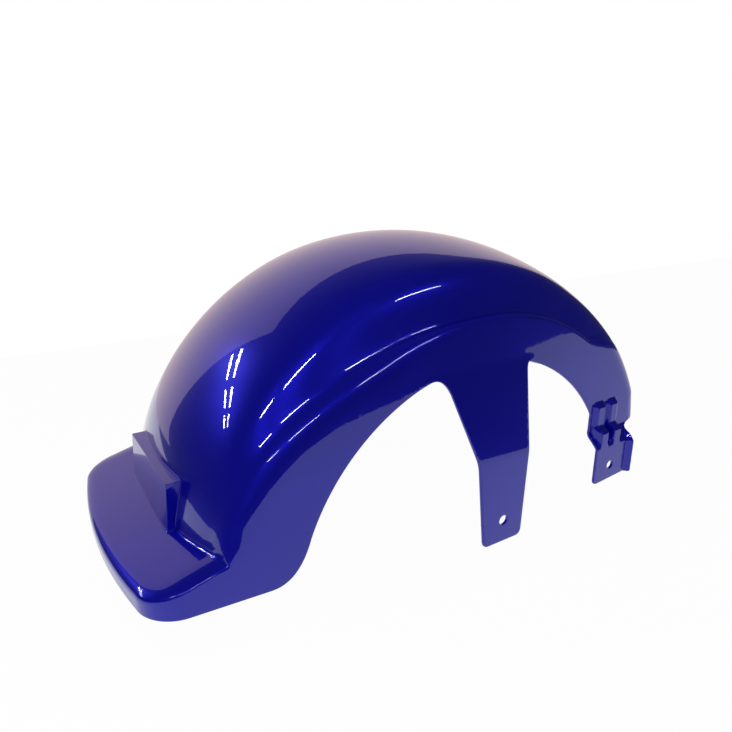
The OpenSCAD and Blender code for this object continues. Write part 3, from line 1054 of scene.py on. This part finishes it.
def finish_mesh(obj, material, sharp):
    """Paints a piece, shades it smooth and keeps its flat faces flat."""
    obj.data.materials.clear()
    obj.data.materials.append(material)
    obj.data.shade_smooth()
    obj.data.set_sharp_from_angle(angle=math.radians(sharp))
    weighted = obj.modifiers.new("flat_faces", "WEIGHTED_NORMAL")
    weighted.mode = "FACE_AREA_WITH_ANGLE"
    weighted.keep_sharp = True
    bake(obj)


LAMP_LEAN = 2.5  # how much further back the lamp panel's foot is
LAMP_SUNK = 1.5  # how far the box's walls reach into the shell
LAMP_SIDE_LOW = 3.0  # how far over the panel's foot the sides' lines on the dome start
LAMP_STEPS, LAMP_SIDE_STEPS, LAMP_FOOT_STEPS = 20, 12, 4
LAMP_ROUND, LAMP_ROUND_STEPS, LAMP_SHARP = 1.4, 4, 50.0
BEAD_R, BEAD_SIDES = 0.9, 10
SEAM_STEPS, SEAM_SIDE_STEPS, SEAM_FOOT_STEPS = 28, 14, 6
SEAM_LOW = 76.0  # under the height where the box's sides leave the dome
SEAM_LEAN = 0.94  # the share of the panel's lean at which the panel meets the shelf


def dome_rear(rule, y, z, sunk):
    """Point of the dome's rear at height z, drawn in by sunk."""
    r = rule.roof(ARC_END, y) - sunk
    for _ in range(2):
        r = rule.roof(180.0 - math.asin(z / r) / DEG, y) - sunk
    return (-math.sqrt(r * r - z * z), y, z)


def rise_line(rule, y, low, top, steps, sunk):
    """The line on the dome at y from low to top, as far as it lies over the shelf."""
    points = [dome_rear(rule, y, mix(low, top, k / steps), sunk) for k in range(steps + 1)]
    return [p for p in points if p[2] > rule.shelf(p[0]) - sunk]


def shelf_line(rule, y, start, end, steps, sunk):
    """The line on the shelf at y from x = start to x = end, without its end."""
    xs = [mix(start, end, k / steps) for k in range(steps)]
    return [(x, y, rule.shelf(x) - sunk) for x in xs]


def lamp_sheet(rule, fix):
    """Outer sheet of the lamp box: panel, top and two sides, open to the shell."""
    half, top, back = fix.lamp_w / 2, fix.lamp_top, -fix.lamp_x
    foot_x = back - LAMP_LEAN
    foot = rule.shelf(foot_x) - LAMP_SUNK
    skin = Skin()
    ys = [mix(-half, half, k / LAMP_STEPS) for k in range(LAMP_STEPS + 1)]
    skin.strip([[(foot_x, y, foot) for y in ys], [(back, y, top) for y in ys],
                [dome_rear(rule, y, top, LAMP_SUNK) for y in ys]])
    for y in (-half, half):
        front = rise_line(rule, y, foot + LAMP_SIDE_LOW, top, LAMP_SIDE_STEPS, LAMP_SUNK)
        base = shelf_line(rule, y, foot_x, front[0][0], LAMP_FOOT_STEPS, LAMP_SUNK)
        loop = [(back, y, top)] + base + front
        skin.mesh(loop, [tuple(range(len(loop)))])
    return skin


def build_lamp_box(rule, fix, material):
    obj = skin_object("lamp_box", lamp_sheet(rule, fix),
                      lambda f: abs(f.normal.z) * f.calc_area())
    add_wall(obj, rule.wall)
    bevel = obj.modifiers.new("edges", "BEVEL")
    bevel.width = LAMP_ROUND * MM
    bevel.segments = LAMP_ROUND_STEPS
    bevel.limit_method = "ANGLE"
    bevel.angle_limit = math.radians(LAMP_SHARP)
    bake(obj)
    finish_mesh(obj, material, LAMP_SHARP)
    return obj


def seam_path(rule, fix):
    """Path along which the lamp box meets the shell: up one side, over and down, and along."""
    half, top = fix.lamp_w / 2, fix.lamp_top
    side = rise_line(rule, half, SEAM_LOW, top, SEAM_SIDE_STEPS, 0.0)
    start = -fix.lamp_x - LAMP_LEAN * SEAM_LEAN
    left = shelf_line(rule, half, start, side[0][0], SEAM_FOOT_STEPS, 0.0) + side
    ys = [mix(half, -half, k / SEAM_STEPS) for k in range(1, SEAM_STEPS)]
    over = [dome_rear(rule, y, top, 0.0) for y in ys]
    front = [(start, y, rule.shelf(start)) for y in reversed(ys)]
    return left + over + mirrored(left)[::-1] + front


def bead_tree(material):
    """A round bead of paint along a path."""
    tree, inlets = new_tree("seam_bead", {"Radius": "Float", "Sides": "Int", "Path": "Object"})
    info = node_of(tree, "GeometryNodeObjectInfo", Object=inlets["Path"])
    curve = node_of(tree, "GeometryNodeMeshToCurve", Mesh=info.outputs["Geometry"])
    profile = node_of(tree, "GeometryNodeCurvePrimitiveCircle", Radius=inlets["Radius"],
                      Resolution=inlets["Sides"])
    tube = node_of(tree, "GeometryNodeCurveToMesh", Curve=curve.outputs[0],
                   Profile_Curve=profile.outputs["Curve"])
    smooth = node_of(tree, "GeometryNodeSetShadeSmooth", Geometry=tube.outputs[0])
    return close_tree(tree, smooth.outputs[0], material)


def build_bead(rule, fix, material):
    """The small fillet where the lamp box grows out of the shell."""
    points = [placed(p) for p in seam_path(rule, fix)]
    edges = [(k, (k + 1) % len(points)) for k in range(len(points))]
    path = new_object("seam_path", points, edges=edges)
    obj = run_tree(new_object("lamp_box_fillet"), bead_tree(material),
                   {"Radius": BEAD_R * MM, "Sides": BEAD_SIDES, "Path": path})
    bpy.data.objects.remove(path)
    return obj


# Finish of the paint: shader values, and for each layer of unevenness its noise's scale and
# detail, and its bump's strength and distance
FINISH = {"Metallic": 0.5, "Roughness": 0.3, "IOR": 1.45, "Specular IOR Level": 0.05,
          "Coat Weight": 1.0, "Coat Roughness": 0.015, "Coat IOR": 1.5}
CLOUDS = (14.0, 3.0)
FLAKES = (2600.0, 1.0, 0.03, 0.00004)
PEEL = (420.0, 2.0, 0.05, 0.0002)
WHITE = (1.0, 1.0, 1.0)


def set_inputs(node, values):
    for name, value in values.items():
        node.inputs[name].default_value = value


def blended(tree, share, first, second):
    """The socket of a colour that runs from the first to the second as share does."""
    node = tree.nodes.new("ShaderNodeMix")
    node.data_type = "RGBA"
    ends = [socket for socket in node.inputs if socket.type == "RGBA"]
    for socket, colour in zip(ends, (first, second)):
        socket.default_value = (*colour, 1.0)
    tree.links.new(share, node.inputs["Factor"])
    return next(socket for socket in node.outputs if socket.type == "RGBA")


def paint():
    """Deep blue gloss paint under a clear coat, laid on a little unevenly."""
    look = bpy.context.scene.fender_paint
    material = bpy.data.materials.get("blue_paint")
    if material:
        return material
    material = bpy.data.materials.new("blue_paint")
    material.use_nodes = True
    tree = material.node_tree
    shader = tree.nodes["Principled BSDF"]
    set_inputs(shader, FINISH)
    place = tree.nodes.new("ShaderNodeTexCoord").outputs["Object"]

    def noise(scale, detail):
        return node_of(tree, "ShaderNodeTexNoise", Vector=place, Scale=scale, Detail=detail,
                       Roughness=0.5).outputs["Fac"]

    def bump(scale, detail, strength, distance):
        return node_of(tree, "ShaderNodeBump", Strength=strength, Distance=distance,
                       Height=noise(scale, detail)).outputs[0]

    tint = blended(tree, noise(*CLOUDS), look.deep_blue, look.blue)
    tree.links.new(tint, shader.inputs["Base Color"])
    tree.links.new(bump(*FLAKES), shader.inputs["Normal"])
    tree.links.new(bump(*PEEL), shader.inputs["Coat Normal"])
    return material


def seen_rays(tree):
    """Fields that are 1 for camera rays, and for camera, glossy and transmission rays."""
    rays = tree.nodes.new("ShaderNodeLightPath").outputs
    camera, glossy, glass = (Field(tree, rays[name]) for name in
                             ("Is Camera Ray", "Is Glossy Ray", "Is Transmission Ray"))
    return camera, higher(higher(camera, glossy), glass)


def pale(name, colour, share):
    """A pale stage surface: share of it looks even, white to the camera and in its own colour
    in gloss and glass, and the rest is lit and takes the shadow."""
    material = bpy.data.materials.new(name)
    material.use_nodes = True
    tree = material.node_tree
    tree.nodes.clear()
    camera, seen = seen_rays(tree)
    lit = node_of(tree, "ShaderNodeBsdfDiffuse", Color=(*colour, 1.0))
    even = node_of(tree, "ShaderNodeEmission", Strength=1.0,
                   Color=blended(tree, camera.socket, colour, WHITE))
    both = tree.nodes.new("ShaderNodeMixShader")
    for source, socket in zip(((seen * share).socket, lit.outputs[0], even.outputs[0]),
                              both.inputs):
        tree.links.new(source, socket)
    out = tree.nodes.new("ShaderNodeOutputMaterial")
    tree.links.new(both.outputs[0], out.inputs[0])
    return material


# The table that the part stands on, in metres: its near edge runs aslant, its far side
# curves up into a backdrop, and the room beyond them is dark.
FLOOR_Z = LOW[2] - 0.0005
FLOOR_EVEN, BACKDROP_EVEN = 0.97, 1.0
TABLE_LEFT, TABLE_RIGHT, TABLE_NEAR, TABLE_SLANT = -0.58, 2.8, -0.463, -0.257
BACK_Y, BACK_LEFT, BACK_TOP, BACK_BEND, BEND_STEPS = 1.1, -0.88, 1.47, 0.25, 12


def sheet(name, rows):
    """A sheet between rows of as many points each."""
    skin = Skin()
    skin.strip(rows)
    return new_object(name, skin.points, skin.faces)


def build_table(look):
    near = [(x, TABLE_NEAR + TABLE_SLANT * x, FLOOR_Z) for x in (TABLE_LEFT, TABLE_RIGHT)]
    far = [(x, BACK_Y - BACK_BEND, FLOOR_Z) for x in (TABLE_LEFT, TABLE_RIGHT)]
    floor = sheet("floor", [near, far])
    turns = [math.pi / 2 * k / BEND_STEPS for k in range(BEND_STEPS + 1)]
    profile = [(BACK_Y - BACK_BEND * (1 - math.sin(a)), BACK_BEND * (1 - math.cos(a)))
               for a in turns] + [(BACK_Y, BACK_TOP)]
    back = sheet("backdrop", [[(x, y, FLOOR_Z + z) for x in (BACK_LEFT, TABLE_RIGHT)]
                              for y, z in profile])
    for obj, colour, share in ((floor, look.paper, FLOOR_EVEN),
                               (back, look.backdrop, BACKDROP_EVEN)):
        obj.data.shade_smooth()
        obj.data.materials.append(pale(obj.name + "_paper", colour, share))
        obj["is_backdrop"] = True


# The photograph's camera, found from the wheel opening, the bolt holes and the shell's edges
CAMERA_PLACE = (-0.39592, -0.52225, 0.33003)
CAMERA_RIGHT = (0.84562, -0.53378, -0.00332)
CAMERA_UP = (0.16585, 0.25682, 0.95212)
CAMERA_BACK = (-0.50737, -0.80569, 0.30570)
CAMERA_LENS, CAMERA_SENSOR, CAMERA_NEAR = 30.05, 36.0, 0.01


def add_camera():
    data = bpy.data.cameras.new("camera")
    data.sensor_width = CAMERA_SENSOR
    data.lens = CAMERA_LENS
    data.clip_start = CAMERA_NEAR
    obj = bpy.data.objects.new("camera", data)
    turn = Matrix((CAMERA_RIGHT, CAMERA_UP, CAMERA_BACK)).transposed()
    obj.matrix_world = Matrix.Translation(CAMERA_PLACE) @ turn.to_4x4()
    bpy.context.collection.objects.link(obj)
    bpy.context.scene.camera = obj


# Large soft lamps that light the part and aren't mirrored: place, size in metres and glow
SOFT_LAMPS = {"soft_top": ((-0.3, -0.2, 1.9), (1.6, 1.6), 1.3),
              "soft_side": ((-1.1, -1.1, 0.6), (1.0, 1.0), 4.6)}
SOFT_TARGET = (0.0, 0.0, 0.08)
ROOM_LIGHT = 0.05  # an even dim light from all round

# Lamps that the paint mirrors: two rows of ceiling tubes behind the backdrop's left end,
# and single ones over the near side, each from end to end, in metres
TUBE_WIDTH, TUBE_GLOW = 0.05, 60.0
ROW_YS, ROW_STARTS, ROW_Z = (2.45, 2.85), (-1.78, -2.02), 2.0
ROW_PITCH, ROW_COUNT, ROW_TUBE = 1.1, 3, 0.76
NEAR_TUBES = (((-0.62, -2.5, 2.0), (-1.5, -2.1, 2.0)),
              ((0.4, -3.4, 2.0), (1.55, -3.5, 2.0)),
              ((-1.9, -1.8, 2.0), (-2.5, -1.5, 2.0)))


def add_lamp(name, place, turn, size, glow, in_gloss):
    """A rectangular lamp that glows as bright as a white surface lit glow times over."""
    data = bpy.data.lights.new(name, "AREA")
    data.shape = "RECTANGLE"
    data.size, data.size_y = size
    data.energy = glow * math.pi * size[0] * size[1]
    obj = bpy.data.objects.new(name, data)
    obj.matrix_world = Matrix.Translation(place) @ turn.to_4x4()
    obj.visible_glossy = in_gloss
    bpy.context.collection.objects.link(obj)


def soft_lamp(name, place, size, glow):
    """A large soft lamp turned towards the part, which the paint doesn't mirror."""
    turn = (Vector(SOFT_TARGET) - Vector(place)).to_track_quat("-Z", "Y").to_matrix()
    add_lamp(name, place, turn, size, glow, False)


def tube(name, start, end):
    """A thin lamp from end to end, turned towards the part."""
    start, end = Vector(start), Vector(end)
    middle = (start + end) / 2
    along_x = (end - start).normalized()
    back = middle - middle.dot(along_x) * along_x
    back.normalize()
    turn = Matrix((along_x, back.cross(along_x), back)).transposed()
    add_lamp(name, middle, turn, ((end - start).length, TUBE_WIDTH), TUBE_GLOW, True)


def build_ceiling():
    for y, first in zip(ROW_YS, ROW_STARTS):
        for k in range(ROW_COUNT):
            x = first - ROW_PITCH * k
            tube(f"row_tube_{y}_{k}", (x, y, ROW_Z), (x - ROW_TUBE, y, ROW_Z))
    for k, ends in enumerate(NEAR_TUBES):
        tube(f"near_tube_{k}", *ends)


# A dark room for the paint to mirror, and a dark card on its near side, in metres: only
# gloss sees them
ROOM_LOW, ROOM_HIGH = (-9.0, -12.0, -1.2), (9.0, 7.0, 2.6)
ROOM_SIDES = [(0, 1, 3, 2), (4, 6, 7, 5), (0, 4, 5, 1), (2, 3, 7, 6), (0, 2, 6, 4), (1, 5, 7, 3)]
CARD_ENDS, CARD_TOP = ((0.135, -0.475), (0.285, -0.372)), 0.6
DARK = {"Base Color": (0.0, 0.0, 0.0, 1.0), "Roughness": 1.0, "Specular IOR Level": 0.0,
        "Emission Color": (0.06, 0.06, 0.07, 1.0), "Emission Strength": 1.0}


def build_room():
    corners = [(x, y, z) for x in (ROOM_LOW[0], ROOM_HIGH[0]) for y in (ROOM_LOW[1], ROOM_HIGH[1])
               for z in (ROOM_LOW[2], ROOM_HIGH[2])]
    card = sheet("dark_card", [[(x, y, z) for x, y in CARD_ENDS] for z in (FLOOR_Z, CARD_TOP)])
    material = bpy.data.materials.new("dark")
    material.use_nodes = True
    set_inputs(material.node_tree.nodes["Principled BSDF"], DARK)
    material.cycles.emission_sampling = "NONE"
    for obj in (new_object("dark_room", corners, ROOM_SIDES), card):
        obj.data.materials.append(material)
        obj.visible_camera = obj.visible_shadow = obj.visible_diffuse = False
        obj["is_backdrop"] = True


def set_world():
    """White behind the table, and an even dim light on the part."""
    world = bpy.data.worlds.new("studio")
    world.use_nodes = True
    tree = world.node_tree
    back = tree.nodes["Background"]
    back.inputs["Color"].default_value = (*WHITE, 1.0)
    _, seen = seen_rays(tree)
    tree.links.new(higher(seen, ROOM_LIGHT).socket, back.inputs["Strength"])
    bpy.context.scene.world = world


class FENDER_OT_shell(bpy.types.Operator):
    """Build the moulding: arch, skirts, tail shelf, legs and foot, as one shell"""
    bl_idname = "fender.shell"
    bl_label = "Shell"

    def execute(self, context):
        rule, fix = all_sizes()
        material = paint()
        dome = dome_mesh(material)
        obj = skin_object("fender_shell", build_skin(rule, fix),
                          lambda f: f.calc_center_median().z, dome)
        bpy.data.meshes.remove(dome)
        cut_window(obj, rule, fix)
        thicken(obj, rule.wall)
        finish_mesh(obj, material, SHARP)
        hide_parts(NODE)
        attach(obj, BODY)
        return {"FINISHED"}


class FENDER_OT_lamp_box(bpy.types.Operator):
    """Build the hollow lamp box on the shelf and its fillet"""
    bl_idname = "fender.lamp_box"
    bl_label = "Lamp Box"

    def execute(self, context):
        rule, fix = all_sizes()
        material = paint()
        for obj in (build_lamp_box(rule, fix, material), build_bead(rule, fix, material)):
            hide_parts(NODE)
            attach(obj, BODY)
        return {"FINISHED"}


class FENDER_OT_stage(bpy.types.Operator):
    """Set up the floor, the lamps and the camera"""
    bl_idname = "fender.stage"
    bl_label = "Stage"

    def execute(self, context):
        context.scene.view_settings.view_transform = "Standard"
        build_table(context.scene.fender_paint)
        add_camera()
        set_world()
        build_ceiling()
        build_room()
        for name, lamp in SOFT_LAMPS.items():
            soft_lamp(name, *lamp)
        return {"FINISHED"}


class FENDER_PT_panel(bpy.types.Panel):
    """Lists what the add-on builds"""
    bl_idname = "FENDER_PT_panel"
    bl_label = "Rear Fender"
    bl_space_type = "VIEW_3D"
    bl_region_type = "UI"
    bl_category = "Fender"

    def draw(self, context):
        for group in (context.scene.fender_shell, context.scene.fender_fixings,
                      context.scene.fender_paint):
            box = self.layout.box()
            for name in group.__annotations__:
                box.prop(group, name)
        for operator in STEPS:
            self.layout.operator(operator.bl_idname)


STEPS = (FENDER_OT_stage, FENDER_OT_shell, FENDER_OT_lamp_box)
CLASSES = (ShellSizes, FixingSizes, PaintLook, *STEPS, FENDER_PT_panel)
GROUPS = {"fender_shell": ShellSizes, "fender_fixings": FixingSizes, "fender_paint": PaintLook}


def register():
    for cls in CLASSES:
        bpy.utils.register_class(cls)
    for name, group in GROUPS.items():
        setattr(bpy.types.Scene, name, PointerProperty(type=group))


def unregister():
    for name in GROUPS:
        delattr(bpy.types.Scene, name)
    for cls in reversed(CLASSES):
        bpy.utils.unregister_class(cls)


def main():
    register()
    bpy.ops.fender.stage()
    bpy.ops.fender.shell()
    bpy.ops.fender.lamp_box()
    boxes = {"cad": CAD_BOX, "visual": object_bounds()}
    boxes = {name: [[float(c) for c in corner] for corner in box] for name, box in boxes.items()}


if __name__ == "__main__":
    main()
